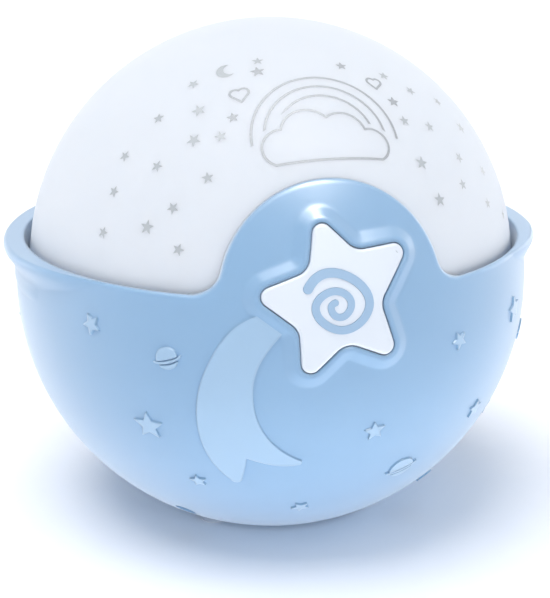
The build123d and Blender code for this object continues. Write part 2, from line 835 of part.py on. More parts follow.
def picture(spread):
    """The picture's lines, each widened by spread."""
    with BuildSketch() as cloud:
        for x, y, radius in cloud_puffs:
            with Locations((x, y)):
                Circle(radius)
        with Locations((0, cloud_base)):
            Rectangle(*cloud_middle, align=(Align.CENTER, Align.MIN))
        clear_below(cloud_base)
    with BuildSketch() as lines:
        with Locations(rainbow_middle):
            for radius in rainbow_radii:
                Circle(radius + picture_line / 2 + spread)
                Circle(radius - picture_line / 2 - spread, mode=Mode.SUBTRACT)
        clear_below(rainbow_middle[1])
        add(grown(cloud.sketch, cloud_halo - spread), mode=Mode.SUBTRACT)
        add(line_of(cloud.sketch, spread))
        for x, y, size in picture_hearts:
            with Locations((x, y)):
                add(line_of(heart(size), spread))
        for x, y, size in picture_stars:
            with Locations((x, y)):
                add(grown(small_star(size, relief_waist), spread))
    return lines.sketch


def picture_patch(spread):
    plane = ball_plane(picture_azimuth, picture_latitude, dome_radius, dome_centre)
    floor = dome_radius - picture_depth - spread
    return ball_patch(picture(spread), plane, floor, dome_radius + 10 * spread, dome_centre)


dome_inner = dome_radius - dome_wall
flange_radius = dome_inner - dome_flange
dome_boss_reach = flange_radius + dome_boss_radius + 0.6
dome_boss_points = [polar(dome_boss_reach, angle) for angle in dome_boss_angles]
dome_foot = deck_top + seat_gap

with BuildPart() as dome:
    with BuildSketch(Plane.XZ):
        with BuildLine():
            low_edge = (ring_radius(dome_radius, seat_gap), dome_foot)
            inner_edge = (ring_radius(dome_inner, seat_gap + flange_thickness), dome_foot + flange_thickness)
            Line((flange_radius, dome_foot), low_edge)
            arc_about(centre_z + dome_rise, low_edge, (0, centre_z + dome_rise + dome_radius))
            Line((0, centre_z + dome_rise + dome_radius), (0, centre_z + dome_rise + dome_inner))
            arc_about(centre_z + dome_rise, (0, centre_z + dome_rise + dome_inner), inner_edge)
            Line(inner_edge, (flange_radius, inner_edge[1]))
            Line((flange_radius, inner_edge[1]), (flange_radius, dome_foot))
        make_face()
    revolve(axis=Axis.Z)
    stand(Plane.XY.offset(dome_foot), dome_boss_points, dome_boss_radius, dome_boss_height)
    drill(Plane.XY.offset(dome_foot + dome_boss_height - 1), dome_boss_points, pilot_radius, dome_boss_height)
    with BuildSketch(button_plane.offset(8)):
        Circle(dome_notch)
        Rectangle(2 * dome_notch, 3 * dome_notch, align=(Align.CENTER, Align.MAX))
    extrude(amount=-32, mode=Mode.SUBTRACT)
    add(window_prisms(0), mode=Mode.SUBTRACT)
    add(picture_patch(window_gap / 2), mode=Mode.SUBTRACT)
save(dome.part, "dome")
save(picture_patch(0), "dome_picture")

with BuildPart() as dome_windows:
    add(window_prisms(window_gap))
    with Locations(dome_centre):
        Sphere(dome_radius, mode=Mode.INTERSECT)
        Sphere(dome_inner, mode=Mode.SUBTRACT)
save(dome_windows.part, "dome_star_windows")

# ---------------------------------------------------------------- deck
board_top = deck_bottom - board_drop
main_board_points = [(x, y) for x in (-26.0, 26.0) for y in (-16.0, 16.0)]
tower_screws_at = [polar(tower_base - 3.6, angle) for angle in (30, 150, 270)]
deck_face = Plane.XY.offset(deck_top)
deck_back = Plane.XY.offset(deck_bottom)

with BuildPart() as deck:
    with BuildSketch(deck_back):
        Circle(deck_radius)
        Circle(wire_hole, mode=Mode.SUBTRACT)
        with Locations((0, -deck_radius)):
            Rectangle(2 * deck_notch, 2 * deck_notch_depth, mode=Mode.SUBTRACT)
    extrude(amount=deck_thickness)
    # bosses for the housing screws, and standoffs for the main board
    stand(deck_back, post_points, post_radius, centre_z + post_top + seat_gap - deck_bottom)
    stand(deck_back, main_board_points, 3, -board_drop)
    with BuildSketch(deck_back):
        Circle(tower_base + 2)
        Circle(tower_base + 0.4, mode=Mode.SUBTRACT)
    extrude(amount=-4)
    drill(deck_face.offset(-3.4), post_points, long_screw[2] + pilot_gap, 12)
    drill(deck_back.offset(-2), main_board_points, pilot_radius, board_drop)
    drill(deck_face, dome_boss_points, screw_hole, deck_thickness)
    drill(deck_face, tower_screws_at, pilot_radius, deck_thickness)
save(deck.part, "deck")

screw_group("dome_screws", behind(deck_back), mirrored(dome_boss_points), deck_thickness + 5)
screw_group("housing_screws", behind(Plane.XY.offset(shoulder_z)), mirrored(post_points), 15, long_screw)

# ---------------------------------------------------------------- lamp
led_screws_at = [polar(led_board_radius - 2.4, angle) for angle in (30, 150, 270)]
tower_foot = deck_top + seat_gap
led_seat = tower_foot + tower_height
reflector_top = led_seat + seat_gap + reflector_wall

with BuildPart() as lamp_tower:
    with BuildSketch(Plane.XZ):
        with BuildLine():
            Polyline(
                (tower_neck - tower_wall, tower_foot),
                (tower_base, tower_foot),
                (tower_base, tower_foot + tower_wall),
                (tower_neck, tower_foot + tower_wall),
                (tower_top, led_seat),
                (tower_bore, led_seat),
                (tower_bore, led_seat - tower_wall),
                (tower_top - tower_wall, led_seat - tower_wall),
                close=True,
            )
        make_face()
    revolve(axis=Axis.Z)
    drill(Plane.XY.offset(tower_foot + tower_wall), tower_screws_at, screw_hole, tower_wall)
    drill(Plane.XY.offset(led_seat), led_screws_at, pilot_radius, tower_wall)
save(lamp_tower.part, "lamp_tower")
screw_group("tower_screws", Plane.XY.offset(tower_foot + tower_wall), tower_screws_at, tower_wall + 2.2)

with BuildPart() as reflector:
    with BuildSketch(Plane.XZ):
        with BuildLine():
            Polyline(
                (tower_bore, led_seat + seat_gap),
                (tower_top + 0.5, led_seat + seat_gap),
                (reflector_radius, led_seat + reflector_rise - reflector_wall),
                (reflector_radius, led_seat + reflector_rise),
                (tower_top, reflector_top),
                (tower_bore, reflector_top),
                close=True,
            )
        make_face()
    revolve(axis=Axis.Z)
    drill(Plane.XY.offset(reflector_top), led_screws_at, screw_hole, 2 * reflector_wall)
save(reflector.part, "reflector")

led_board_face = Plane.XY.offset(reflector_top + seat_gap + board_thickness)
with BuildPart() as led_board:
    with BuildSketch(led_board_face):
        Circle(led_board_radius)
        Circle(2, mode=Mode.SUBTRACT)
    extrude(amount=-board_thickness)
    drill(led_board_face, led_screws_at, screw_hole, board_thickness)
save(led_board.part, "led_board")
screw_group("led_board_screws", led_board_face, led_screws_at, 4)

with BuildPart() as leds:
    with BuildSketch(led_board_face):
        with PolarLocations(led_ring, led_count, start_angle=90):
            Circle(led_radius + led_collar)
    extrude(amount=1)
    with BuildSketch(led_board_face):
        with PolarLocations(led_ring, led_count, start_angle=90):
            Circle(led_radius)
    extrude(amount=led_height)
    fillet(leds.edges().group_by(Axis.Z)[-1], radius=led_radius - 0.2)
save(leds.part, "leds")

# ---------------------------------------------------------------- main board
main_board_back = Plane.XY.offset(board_top - board_thickness)
with BuildPart() as main_circuit:
    with BuildSketch(main_board_back):
        RectangleRounded(main_board[0], main_board[1], 2)
    extrude(amount=board_thickness - seat_gap)
    drill(Plane.XY.offset(board_top), main_board_points, screw_hole, 2 * board_thickness)
save(main_circuit.part, "main_board")
screw_group("main_board_screws", behind(main_board_back), mirrored(main_board_points), board_thickness + 5)

with BuildPart() as chip:
    with BuildSketch(behind(main_board_back)):
        for x, y, length, width in chips:
            with Locations((x, y)):
                Rectangle(length, width)
    extrude(amount=chip_height)
    chamfer(chip.edges().group_by(Axis.Z)[0], length=0.3)
save(chip.part, "sound_chips")

with BuildPart() as capacitors:
    stand(behind(main_board_back), capacitor_places, *capacitor)
    fillet(capacitors.edges().group_by(Axis.Z)[0], radius=0.5)
save(capacitors.part, "capacitors")

with BuildPart() as sockets:
    with BuildSketch(behind(main_board_back)):
        with Locations(*socket_places):
            Rectangle(socket_size[0], socket_size[1])
    extrude(amount=socket_size[2])
    with BuildSketch(behind(main_board_back).offset(socket_size[2])):
        with Locations(*socket_places):
            Rectangle(socket_size[0] - 2 * socket_wall[0], socket_size[1] - 2 * socket_wall[1])
    extrude(amount=-socket_depth, mode=Mode.SUBTRACT)
save(sockets.part, "wire_sockets")

# ---------------------------------------------------------------- controls
panel_back_face = panel_plane.offset(-panel_thickness)

with BuildPart() as control_panel:
    with BuildSketch(panel_back_face.offset(seat_gap)):
        RectangleRounded(panel_size[0] - 2 * panel_slack, panel_size[1] - 2 * panel_slack, 2.8)
        with Locations((-knob_offset, 0), (knob_offset, 0)):
            RectangleRounded(slot_length, slot_width, slot_rounding, mode=Mode.SUBTRACT)
    extrude(amount=panel_thickness - seat_gap)
    drill(panel_plane, panel_screws_at, screw_hole, panel_thickness)
    # marks beside the knobs: a dot for each place
    with BuildSketch(panel_plane):
        for side in (-1, 1):
            with Locations(*[(side * knob_offset + step * knob_travel, -5.2) for step in (-1, 0, 1)]):
                Circle(0.45)
    extrude(amount=0.3)
save(control_panel.part, "control_panel")
screw_group("panel_screws", panel_plane, panel_screws_at, panel_thickness + 3)


def slide_switch(name, x):
    """Switch body with an open top, and the knob that slides in the panel's slot."""
    with BuildPart() as body:
        with BuildSketch(panel_back_face):
            with Locations((x, 0)):
                Rectangle(switch_length, switch_width)
        extrude(amount=-switch_depth)
        with BuildSketch(panel_back_face):
            with Locations((x, 0)):
                Rectangle(slot_length, slot_width)
        extrude(amount=switch_floor - switch_depth, mode=Mode.SUBTRACT)
    save(body.part, f"{name}_switch_body")
    with BuildPart() as knob:
        foot = panel_plane.offset(knob_lift)
        with BuildSketch(foot):
            with Locations((x, 0)):
                RectangleRounded(knob_size[0], knob_size[1], 1)
        extrude(amount=knob_size[2])
        top = foot.offset(knob_size[2])
        fillet(knob.edges().filter_by(lambda e: abs(top.to_local_coords(e.center()).Z) < 0.01), radius=0.6)
        with BuildSketch(top):
            with Locations((x - ridge_pitch, 0), (x, 0), (x + ridge_pitch, 0)):
                Rectangle(0.7, knob_size[1] - 1.6)
        extrude(amount=-0.6, mode=Mode.SUBTRACT)
        with BuildSketch(foot):
            with Locations((x, 0)):
                Rectangle(*knob_stem)
        extrude(amount=-knob_lift - panel_thickness - 2.0)
    save(knob.part, f"{name}_knob")


slide_switch("timer", -knob_offset)
slide_switch("volume", knob_offset)

control_board_face = panel_back.offset(-seat_gap)
with BuildPart() as control_board:
    with BuildSketch(control_board_face):
        RectangleRounded(panel_size[0], control_board_width, 1.5)
    extrude(amount=-board_thickness)
    drill(control_board_face, board_screws_at, screw_hole, board_thickness)
save(control_board.part, "control_board")
screw_group(
    "control_board_screws",
    behind(control_board_face.offset(-board_thickness)),
    mirrored(board_screws_at),
    board_thickness + 2.6,
)

# ---------------------------------------------------------------- speaker
speaker_front = speaker_plane.offset(-seat_gap)
with BuildPart() as speaker_frame:
    with BuildSketch(speaker_front):
        Circle(speaker_radius)
    with BuildSketch(speaker_front.offset(-speaker_edge)):
        Circle(speaker_radius)
    loft()
    with BuildSketch(speaker_front.offset(-speaker_edge)):
        Circle(speaker_radius - 1.5)
    with BuildSketch(speaker_front.offset(magnet_height - speaker_depth)):
        Circle(magnet_radius)
    loft()
    with BuildSketch(speaker_front):
        Circle(speaker_radius - 2)
    with BuildSketch(speaker_front.offset(magnet_height - speaker_depth + 1)):
        Circle(magnet_radius - 1.5)
    loft(mode=Mode.SUBTRACT)
    with BuildSketch(speaker_front):
        Circle(speaker_radius - speaker_sheet)
    extrude(amount=-speaker_sheet, mode=Mode.SUBTRACT)
save(speaker_frame.part, "speaker_frame")

with BuildPart() as speaker_magnet:
    magnet_seat = speaker_front.offset(magnet_height - speaker_depth - seat_gap)
    stand(magnet_seat, [(0, 0)], magnet_radius - 0.5, -magnet_height)
    fillet(speaker_magnet.edges().filter_by(GeomType.CIRCLE), radius=0.4)
save(speaker_magnet.part, "speaker_magnet")

with BuildPart() as speaker_cone:
    with BuildSketch(speaker_front.offset(-0.4)):
        Circle(speaker_radius - 3)
    with BuildSketch(speaker_front.offset(-cone_depth)):
        Circle(4.5)
    loft()
    with BuildSketch(speaker_front.offset(-0.4)):
        Circle(speaker_radius - 3.6)
    with BuildSketch(speaker_front.offset(0.6 - cone_depth)):
        Circle(4)
    loft(mode=Mode.SUBTRACT)
    with BuildSketch(speaker_front.offset(-0.4)):
        Circle(speaker_radius - 0.7)
        Circle(speaker_radius - 3.4, mode=Mode.SUBTRACT)
    extrude(amount=0.3)
save(speaker_cone.part, "speaker_cone")

# clamp screws: their wide heads hold the speaker's edge against its seat
speaker_back = behind(speaker_front.offset(-speaker_edge))
screw_group("speaker_screws", speaker_back, mirrored(speaker_posts), 5, clamp_screw)

# ---------------------------------------------------------------- cells
cell_places = [(k - (cell_count - 1) / 2) * (cell_diameter + cell_gap) for k in range(cell_count)]
# the cells lie head to tail
cell_turns = [1 if k % 2 == 0 else -1 for k in range(cell_count)]
bay_end = bay_length / 2
cell_shift = (spring_length - plate_thickness - 0.2) / 2

with BuildPart() as battery_tray:
    with BuildSketch(tray_seat.offset(seat_gap)):
        RectangleRounded(bay_length + 2 * tray_wall, bay_width + 2 * tray_wall, 2 + tray_wall)
    extrude(amount=tray_top - floor_top - seat_gap)
    with BuildSketch(tray_seat):
        RectangleRounded(bay_length, bay_width, 2)
    extrude(amount=tray_top - tray_wall - floor_top, mode=Mode.SUBTRACT)
    with BuildSketch(tray_seat.offset(seat_gap)):
        with Locations(*tray_screws_at):
            Rectangle(tray_ear[0], tray_ear[1] + 1)
    extrude(amount=2)
    with BuildSketch(tray_seat):
        RectangleRounded(bay_length, bay_width, 2)
    extrude(amount=3, mode=Mode.SUBTRACT)
    # room for the door's hooks
    with BuildSketch(tray_seat):
        with Locations(*[(-bay_end - tray_wall / 2, y) for y in hook_places]):
            Rectangle(2 * tray_wall, hook_width + 1.2)
    extrude(amount=hook_height + 1.2, mode=Mode.SUBTRACT)
    drill(tray_seat.offset(3), tray_screws_at, screw_hole, 3)
save(battery_tray.part, "battery_tray")
screw_group("tray_screws", tray_seat.offset(seat_gap + 2), tray_screws_at, 4)

with BuildPart() as cells:
    for y, turn in zip(cell_places, cell_turns):
        end = Plane(origin=(turn * (cell_shift - cell_length / 2), y, cell_axis_z), z_dir=(turn, 0, 0))
        stand(end, [(0, 0)], cell_diameter / 2, cell_length - 1)
        stand(end.offset(cell_length - 1), [(0, 0)], 1.9, 1)
    round_edges = cells.edges().filter_by(GeomType.CIRCLE)
    fillet(round_edges.filter_by(lambda e: e.radius > cell_diameter / 2 - 0.01), radius=0.5)
save(cells.part, "cells")

with BuildPart() as cell_plates:
    for y, turn in zip(cell_places, cell_turns):
        for side in (-1, 1):
            with BuildSketch(Plane(origin=(side * bay_end, y, cell_axis_z), z_dir=(-side, 0, 0))):
                Rectangle(cell_diameter - 1.6, cell_diameter - 2.6)
            extrude(amount=plate_thickness)
save(cell_plates.part, "cell_plates")

with BuildPart() as cell_springs:
    for y, turn in zip(cell_places, cell_turns):
        seat = (-turn * (bay_end - plate_thickness - 0.4), y, cell_axis_z)
        with BuildLine():
            coil = Helix(1.25, spring_length - 1.0, 3.4, center=seat, direction=(turn, 0, 0), cone_angle=-14)
        with BuildSketch(Plane(origin=coil @ 0, z_dir=coil % 0)):
            Circle(0.3)
        sweep(path=coil, is_frenet=True)
save(cell_springs.part, "cell_springs")

# ---------------------------------------------------------------- battery door
door_inner = foot_height + door_thickness
hook_top = floor_top + hook_lift + hook_height
with BuildPart() as battery_door:
    with BuildSketch(Plane.XY.offset(foot_height)):
        RectangleRounded(door_length, door_width, 3)
        with Locations((door_length / 2, 0)):
            RectangleRounded(2 * door_tongue, tongue_width, 3.6)
    extrude(amount=door_thickness - seat_gap)
    with BuildSketch(Plane.XY.offset(door_inner - seat_gap)):
        with Locations(*[(-bay_end + hook_inset + hook_stem / 2, y) for y in hook_places]):
            Rectangle(hook_stem, hook_width)
    extrude(amount=hook_top - door_inner)
    with BuildSketch(Plane.XY.offset(floor_top + hook_lift)):
        with Locations(*[(-bay_end + hook_inset - hook_reach / 2, y) for y in hook_places]):
            Rectangle(hook_reach, hook_width)
    extrude(amount=hook_height)
    # recess for the screw's head, finger grooves
    drill(Plane.XY.offset(foot_height + 1.2), [(door_screw_x, 0)], small_screw[0] + 0.2, 2)
    drill(Plane.XY.offset(foot_height + 3), [(door_screw_x, 0)], small_screw[2] + 0.15, 4)
    with BuildSketch(Plane.XY.offset(foot_height)):
        with GridLocations(2.4, 0, 5, 1):
            Rectangle(1.0, 14)
    extrude(amount=0.5, mode=Mode.SUBTRACT)
save(battery_door.part, "battery_door")

door_screw_seat = behind(Plane.XY.offset(foot_height + 1.2))
screw_group("door_screw", door_screw_seat, [(door_screw_x, 0)], 3.8, (small_screw[0], 1.1, small_screw[2]))

with BuildPart() as feet:
    with BuildSketch(Plane.XY):
        with Locations(*foot_points):
            Circle(foot_radius)
    extrude(amount=foot_height + foot_recess)
    fillet(feet.edges().group_by(Axis.Z)[0], radius=0.5)
save(feet.part, "rubber_feet")
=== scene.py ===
"""Star night light projector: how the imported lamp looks, a section for each piece or group
of like pieces.  Metres, in the frame's axes: +Z is up and the star button faces -Y."""

from math import radians

import bpy
from mathutils import Euler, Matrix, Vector


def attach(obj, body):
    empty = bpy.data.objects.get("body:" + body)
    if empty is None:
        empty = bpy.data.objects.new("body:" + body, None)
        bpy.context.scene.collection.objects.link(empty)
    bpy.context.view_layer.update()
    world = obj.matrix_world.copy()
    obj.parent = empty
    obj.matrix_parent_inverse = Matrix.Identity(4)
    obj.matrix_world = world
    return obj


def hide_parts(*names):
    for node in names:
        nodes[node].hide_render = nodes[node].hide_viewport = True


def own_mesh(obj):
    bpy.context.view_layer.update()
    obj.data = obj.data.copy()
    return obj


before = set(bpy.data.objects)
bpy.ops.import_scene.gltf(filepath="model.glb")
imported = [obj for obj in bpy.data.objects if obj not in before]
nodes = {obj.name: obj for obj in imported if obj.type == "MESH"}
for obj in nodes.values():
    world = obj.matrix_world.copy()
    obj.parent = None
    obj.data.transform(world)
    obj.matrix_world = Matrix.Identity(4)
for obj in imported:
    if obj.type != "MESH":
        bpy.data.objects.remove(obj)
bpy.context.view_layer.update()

scene = bpy.context.scene
MM = 0.001


# ------------------------------------------------------------------ camera
# The lamp is looked at from a little to its left and a little above, as from a bed,
# with a long lens, so that the ball stays round.
ball_middle = Vector((0, 0, 76.5 * MM))
camera_azimuth = -13.37                     # degrees; 0 is the front, positive to +X
camera_elevation = 16.6
camera_distance = 467.5 * MM
focal_pixels = 1372.6
frame_height = 598
# of the ball's middle from the picture's, in pixels, up positive
ball_offset = Vector((-4.3, 26.3))


def from_ball(azimuth, elevation, distance):
    """Point at this distance from the ball's middle, at these degrees round it and up."""
    direction = Vector((0, -1, 0))
    direction.rotate(Euler((-radians(elevation), 0, 0)))
    direction.rotate(Euler((0, 0, radians(azimuth))))
    return ball_middle + direction * distance


def faces(thing, target):
    """Turns a camera or light so that it looks at the target."""
    thing.rotation_mode = "QUATERNION"
    thing.rotation_quaternion = (target - thing.location).to_track_quat("-Z", "Y")


camera = bpy.data.objects.new("camera", bpy.data.cameras.new("camera"))
scene.collection.objects.link(camera)
scene.camera = camera
camera.data.lens = focal_pixels / frame_height * camera.data.sensor_width
camera.data.clip_start = 20 * MM
camera.data.clip_end = 30.0                 # metres, past the floor's far edge
camera.location = from_ball(camera_azimuth, camera_elevation, camera_distance)
faces(camera, ball_middle)
pixel = camera_distance / focal_pixels
faces(camera, ball_middle - camera.rotation_quaternion @ (ball_offset.to_3d() * pixel))


# ------------------------------------------------------------------ floor
# A sheet of white matt card that the lamp stands on.  Its fibres scatter light evenly,
# so it only takes a soft shadow.  It isn't part of the lamp.
def srgb(code):
    """Linear colour from an sRGB hex code."""
    parts = [int(code[i:i + 2], 16) / 255 for i in (1, 3, 5)]
    linear = [p / 12.92 if p <= 0.04045 else ((p + 0.055) / 1.055) ** 2.4 for p in parts]
    return (*linear, 1.0)


def add(tree, kind, settings=None, links=None):
    """A node with its settings (properties or sockets) and its links (socket: source)."""
    node = tree.nodes.new("ShaderNode" + kind)
    for name, value in (settings or {}).items():
        if isinstance(name, int) or name in node.inputs:
            node.inputs[name].default_value = value
        else:
            setattr(node, name, value)
    for name, source in (links or {}).items():
        tree.links.new(source, node.inputs[name])
    return node


def material(name):
    """An empty material with its node tree and a Principled surface."""
    made = bpy.data.materials.new(name)
    made.use_nodes = True
    tree = made.node_tree
    tree.nodes.clear()
    surface = add(tree, "BsdfPrincipled")
    add(tree, "OutputMaterial", None, {"Surface": surface.outputs["BSDF"]})
    return made, tree, surface


def set_surface(surface, **settings):
    """Constants on the shader's own sockets; an underscore stands for a space."""
    for name, value in settings.items():
        surface.inputs[name.replace("_", " ")].default_value = value


card, tree, surface = material("white_card")
fibre_length = 1.5 * MM
fibres = add(tree, "TexNoise", {"Scale": 1 / fibre_length, "Detail": 3.0})
tone = add(tree, "MixRGB", {"Color1": srgb("#fdfdff"), "Color2": srgb("#f8f9fd")},
           {"Fac": fibres.outputs["Fac"]})
tree.links.new(tone.outputs["Color"], surface.inputs["Base Color"])
set_surface(surface, Roughness=0.95)

floor_reach = 6.0
sides = ((-1, -1), (1, -1), (1, 1), (-1, 1))
corners = [(x * floor_reach, y * floor_reach, 0) for x, y in sides]
floor = bpy.data.objects.new("floor", bpy.data.meshes.new("floor"))
floor.data.from_pydata(corners, [], [(0, 1, 2, 3)])
floor.data.materials.append(card)
scene.collection.objects.link(floor)


# ------------------------------------------------------------------ light
# A white studio: a pale sky all round with brighter walls, which only gloss mirrors, a large
# soft light nearly overhead, a low wide one in front, two low ones behind that edge the ball,
# one that shines up through the floor as on a light table, and two small ones for glints.
scene.view_settings.view_transform = "Standard"
world = bpy.data.worlds.new("white_studio")
scene.world = world
world.use_nodes = True
tree = world.node_tree
tree.nodes.clear()
rays = add(tree, "LightPath")
sky = add(tree, "Background", {"Color": srgb("#f6f9ff"), "Strength": 0.56})
walls = add(tree, "Background", {"Color": srgb("#ffffff"), "Strength": 1.3})
backdrop = add(tree, "Background", {"Color": srgb("#ffffff"), "Strength": 1.0})
around = add(tree, "MixShader", None,
             {0: rays.outputs["Is Glossy Ray"], 1: sky.outputs[0], 2: walls.outputs[0]})
seen = add(tree, "MixShader", None,
           {0: rays.outputs["Is Camera Ray"], 1: around.outputs[0], 2: backdrop.outputs[0]})
add(tree, "OutputWorld", None, {"Surface": seen.outputs[0]})


lamp_distance = 1.5


def soft_sun(name, azimuth, elevation, strength, spread):
    """A white light from one side, as soft as a panel that spans this many degrees."""
    light = bpy.data.lights.new(name, "SUN")
    light.energy = strength
    light.angle = radians(spread)
    lamp = bpy.data.objects.new(name, light)
    scene.collection.objects.link(lamp)
    lamp.location = from_ball(azimuth, elevation, lamp_distance)
    faces(lamp, ball_middle)
    return lamp


soft_sun("overhead", azimuth=-75, elevation=78, strength=1.95, spread=40)
soft_sun("front", azimuth=15, elevation=8, strength=0.55, spread=50)
soft_sun("edge_right", azimuth=115, elevation=8, strength=0.5, spread=30)
soft_sun("edge_left", azimuth=-125, elevation=5, strength=0.3, spread=15)
soft_sun("through_floor", azimuth=25, elevation=-35, strength=1.1, spread=70)
floor.visible_shadow = False
glint = soft_sun("glint", azimuth=25, elevation=80, strength=4.5, spread=14)
low_glint = soft_sun("low_glint", azimuth=22, elevation=62, strength=3.2, spread=14)
for lamp in (glint, low_glint):
    lamp.visible_diffuse = False


# ------------------------------------------------------------------ bowl and battery door
# The lower shell and its battery door are injection-moulded ABS in a pale blue, with a fine
# satin texture from the tool.  Planets, small stars and the comet's tail stand out of the
# shell by 0.6 mm; their tops are painted a paler blue, a painted highlight.
bowl_radius = 85.0 * MM
relief_height = 0.6 * MM
lip_bottom = 84 * MM                        # over the floor
front_end = -70 * MM                        # of the lip; further forward there is none
star_middle = ball_middle + Vector((0, -83.34, 16.7)) * MM
mound_reach = 34 * MM                       # from the star's middle
edge_radius = 0.7 * MM
mound_edge_radius = 2.0 * MM
rim_edge_radius = 1.6 * MM
flow_length = 20 * MM                       # over which moulded plastic changes a little
gloss_change = 0.04


def moulded(name, colours, roughness, grain, depth, **settings):
    """Moulded plastic: colour and gloss vary a little with the flow, under a grain of this
    size and depth in mm.  Gives the material, its tree, surface, colour and bump."""
    made, tree, surface = material(name)
    place = add(tree, "TexCoord").outputs["Object"]
    flow = add(tree, "TexNoise", {"Scale": 1 / flow_length, "Detail": 2.0}, {"Vector": place})
    tone = add(tree, "MixRGB", {"Color1": srgb(colours[0]), "Color2": srgb(colours[1])},
               {"Fac": flow.outputs["Fac"]})
    gloss = add(tree, "MapRange",
                {"To Min": roughness - gloss_change, "To Max": roughness + gloss_change},
                {"Value": flow.outputs["Fac"]})
    texture = add(tree, "TexNoise", {"Scale": 1 / (grain * MM), "Detail": 2.0}, {"Vector": place})
    bump = add(tree, "Bump", {"Strength": 0.4, "Distance": depth * MM},
               {"Height": texture.outputs["Fac"]})
    tree.links.new(tone.outputs["Color"], surface.inputs["Base Color"])
    tree.links.new(gloss.outputs["Result"], surface.inputs["Roughness"])
    tree.links.new(bump.outputs["Normal"], surface.inputs["Normal"])
    set_surface(surface, **settings)
    return made, tree, surface, tone, bump


def finish_nodes(finish, *names):
    """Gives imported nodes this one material."""
    for name in names:
        nodes[name].data.materials.clear()
        nodes[name].data.materials.append(finish)


bowl_blue, tree, surface, tone, bump = moulded(
    "pale_blue_abs", ("#84aacc", "#80a6c8"), 0.32, 0.35, 0.012,
    IOR=1.53, Subsurface_Weight=0.15, Subsurface_Radius=(0.6, 0.8, 1.0), Subsurface_Scale=3 * MM,
    Sheen_Weight=0.85, Sheen_Roughness=0.5, Sheen_Tint=srgb("#f2f8ff"))
coordinates = add(tree, "TexCoord")
place = coordinates.outputs["Object"]
reach = add(tree, "VectorMath", {"operation": "DISTANCE", 1: ball_middle}, {0: place})
rising = add(tree, "MapRange",
             {"From Min": bowl_radius + 0.15 * MM, "From Max": bowl_radius + 0.5 * MM},
             {"Value": reach.outputs["Value"]})
relief_radius = bowl_radius + relief_height
over = add(tree, "MapRange",
           {"From Min": relief_radius + 0.1 * MM, "From Max": relief_radius + 0.3 * MM,
            "To Min": 1.0, "To Max": 0.0}, {"Value": reach.outputs["Value"]})
raised = add(tree, "Math", {"operation": "MULTIPLY"}, {0: rising.outputs[0], 1: over.outputs[0]})
# the painted highlight goes only on the tops of the motifs, which face straight out; their
# sides and the mound round the star don't
from_middle = add(tree, "VectorMath", {"operation": "SUBTRACT", 1: ball_middle}, {0: place})
outward = add(tree, "VectorMath", {"operation": "NORMALIZE"}, {0: from_middle.outputs["Vector"]})
straight = add(tree, "VectorMath", {"operation": "DOT_PRODUCT"},
               {0: outward.outputs["Vector"], 1: coordinates.outputs["Normal"]})
top_face = add(tree, "MapRange", {"From Min": 0.97, "From Max": 0.985},
               {"Value": straight.outputs["Value"]})
raised_top = add(tree, "Math", {"operation": "MULTIPLY"},
                 {0: raised.outputs[0], 1: top_face.outputs[0]})
# the flared lip is as far out, so what is above the motifs is left out, except in front,
# where there is no lip
where = add(tree, "SeparateXYZ", None, {0: place})
under_lip = add(tree, "MapRange", {"From Min": lip_bottom, "From Max": lip_bottom + 2 * MM,
                                   "To Min": 1.0, "To Max": 0.0}, {"Value": where.outputs["Z"]})
in_front = add(tree, "MapRange", {"From Min": front_end, "From Max": front_end + 2 * MM,
                                  "To Min": 1.0, "To Max": 0.0}, {"Value": where.outputs["Y"]})
no_lip = add(tree, "Math", {"operation": "MAXIMUM"},
             {0: under_lip.outputs[0], 1: in_front.outputs[0]})
relief_only = add(tree, "Math", {"operation": "MULTIPLY"},
                  {0: raised_top.outputs[0], 1: no_lip.outputs[0]})
# a paler blue painted on the motifs' tops: a painted highlight
painted_highlight = add(tree, "MixRGB", {"Color2": srgb("#98b8d4")},
            {"Fac": relief_only.outputs[0], "Color1": tone.outputs["Color"]})
tree.links.new(painted_highlight.outputs["Color"], surface.inputs["Base Color"])
# edges are rounded off in the tool, most of all along the rim and on the mound round the star
near_star = add(tree, "VectorMath", {"operation": "DISTANCE", 1: star_middle}, {0: place})
on_mound = add(tree, "MapRange", {"From Min": mound_reach, "From Max": mound_reach + 3 * MM,
                                  "To Min": mound_edge_radius, "To Max": edge_radius},
               {"Value": near_star.outputs["Value"]})
on_rim = add(tree, "MapRange", {"From Min": lip_bottom - 4 * MM, "From Max": lip_bottom,
                                "To Min": edge_radius, "To Max": rim_edge_radius},
             {"Value": where.outputs["Z"]})
rounding = add(tree, "Math", {"operation": "MAXIMUM"},
               {0: on_mound.outputs[0], 1: on_rim.outputs[0]})
soft_edge = add(tree, "Bevel", {"samples": 8}, {"Radius": rounding.outputs[0]})
tree.links.new(soft_edge.outputs["Normal"], bump.inputs["Normal"])
finish_nodes(bowl_blue, "base_bowl", "battery_door")


# ------------------------------------------------------------------ dome
# The dome is moulded in milky polypropylene, so that light from inside spreads in it.  Its
# outside has a fine frosted texture, which keeps it from shining.
dome_milky, *_ = moulded(
    "milky_polypropylene", ("#dbe0e7", "#d7dde5"), 0.6, 0.25, 0.01,
    IOR=1.49, Specular_IOR_Level=0.1, Subsurface_Weight=0.3, Subsurface_Radius=(0.8, 0.9, 1.0),
    Subsurface_Scale=5 * MM)
finish_nodes(dome_milky, "dome")


# ------------------------------------------------------------------ dome windows
# Small stars and a moon of clear acrylic are set in the dome.  The lamps inside throw
# them on the walls.  Here they are an opaque grey: painted shade for the dim inside seen through
# them.
window_shade_grey, *_ = moulded(
    "clear_window_painted_shade", ("#a9afb4", "#b2b8bc"), 0.35, 1.2, 0.01, IOR=1.49)
finish_nodes(window_shade_grey, "dome_star_windows")


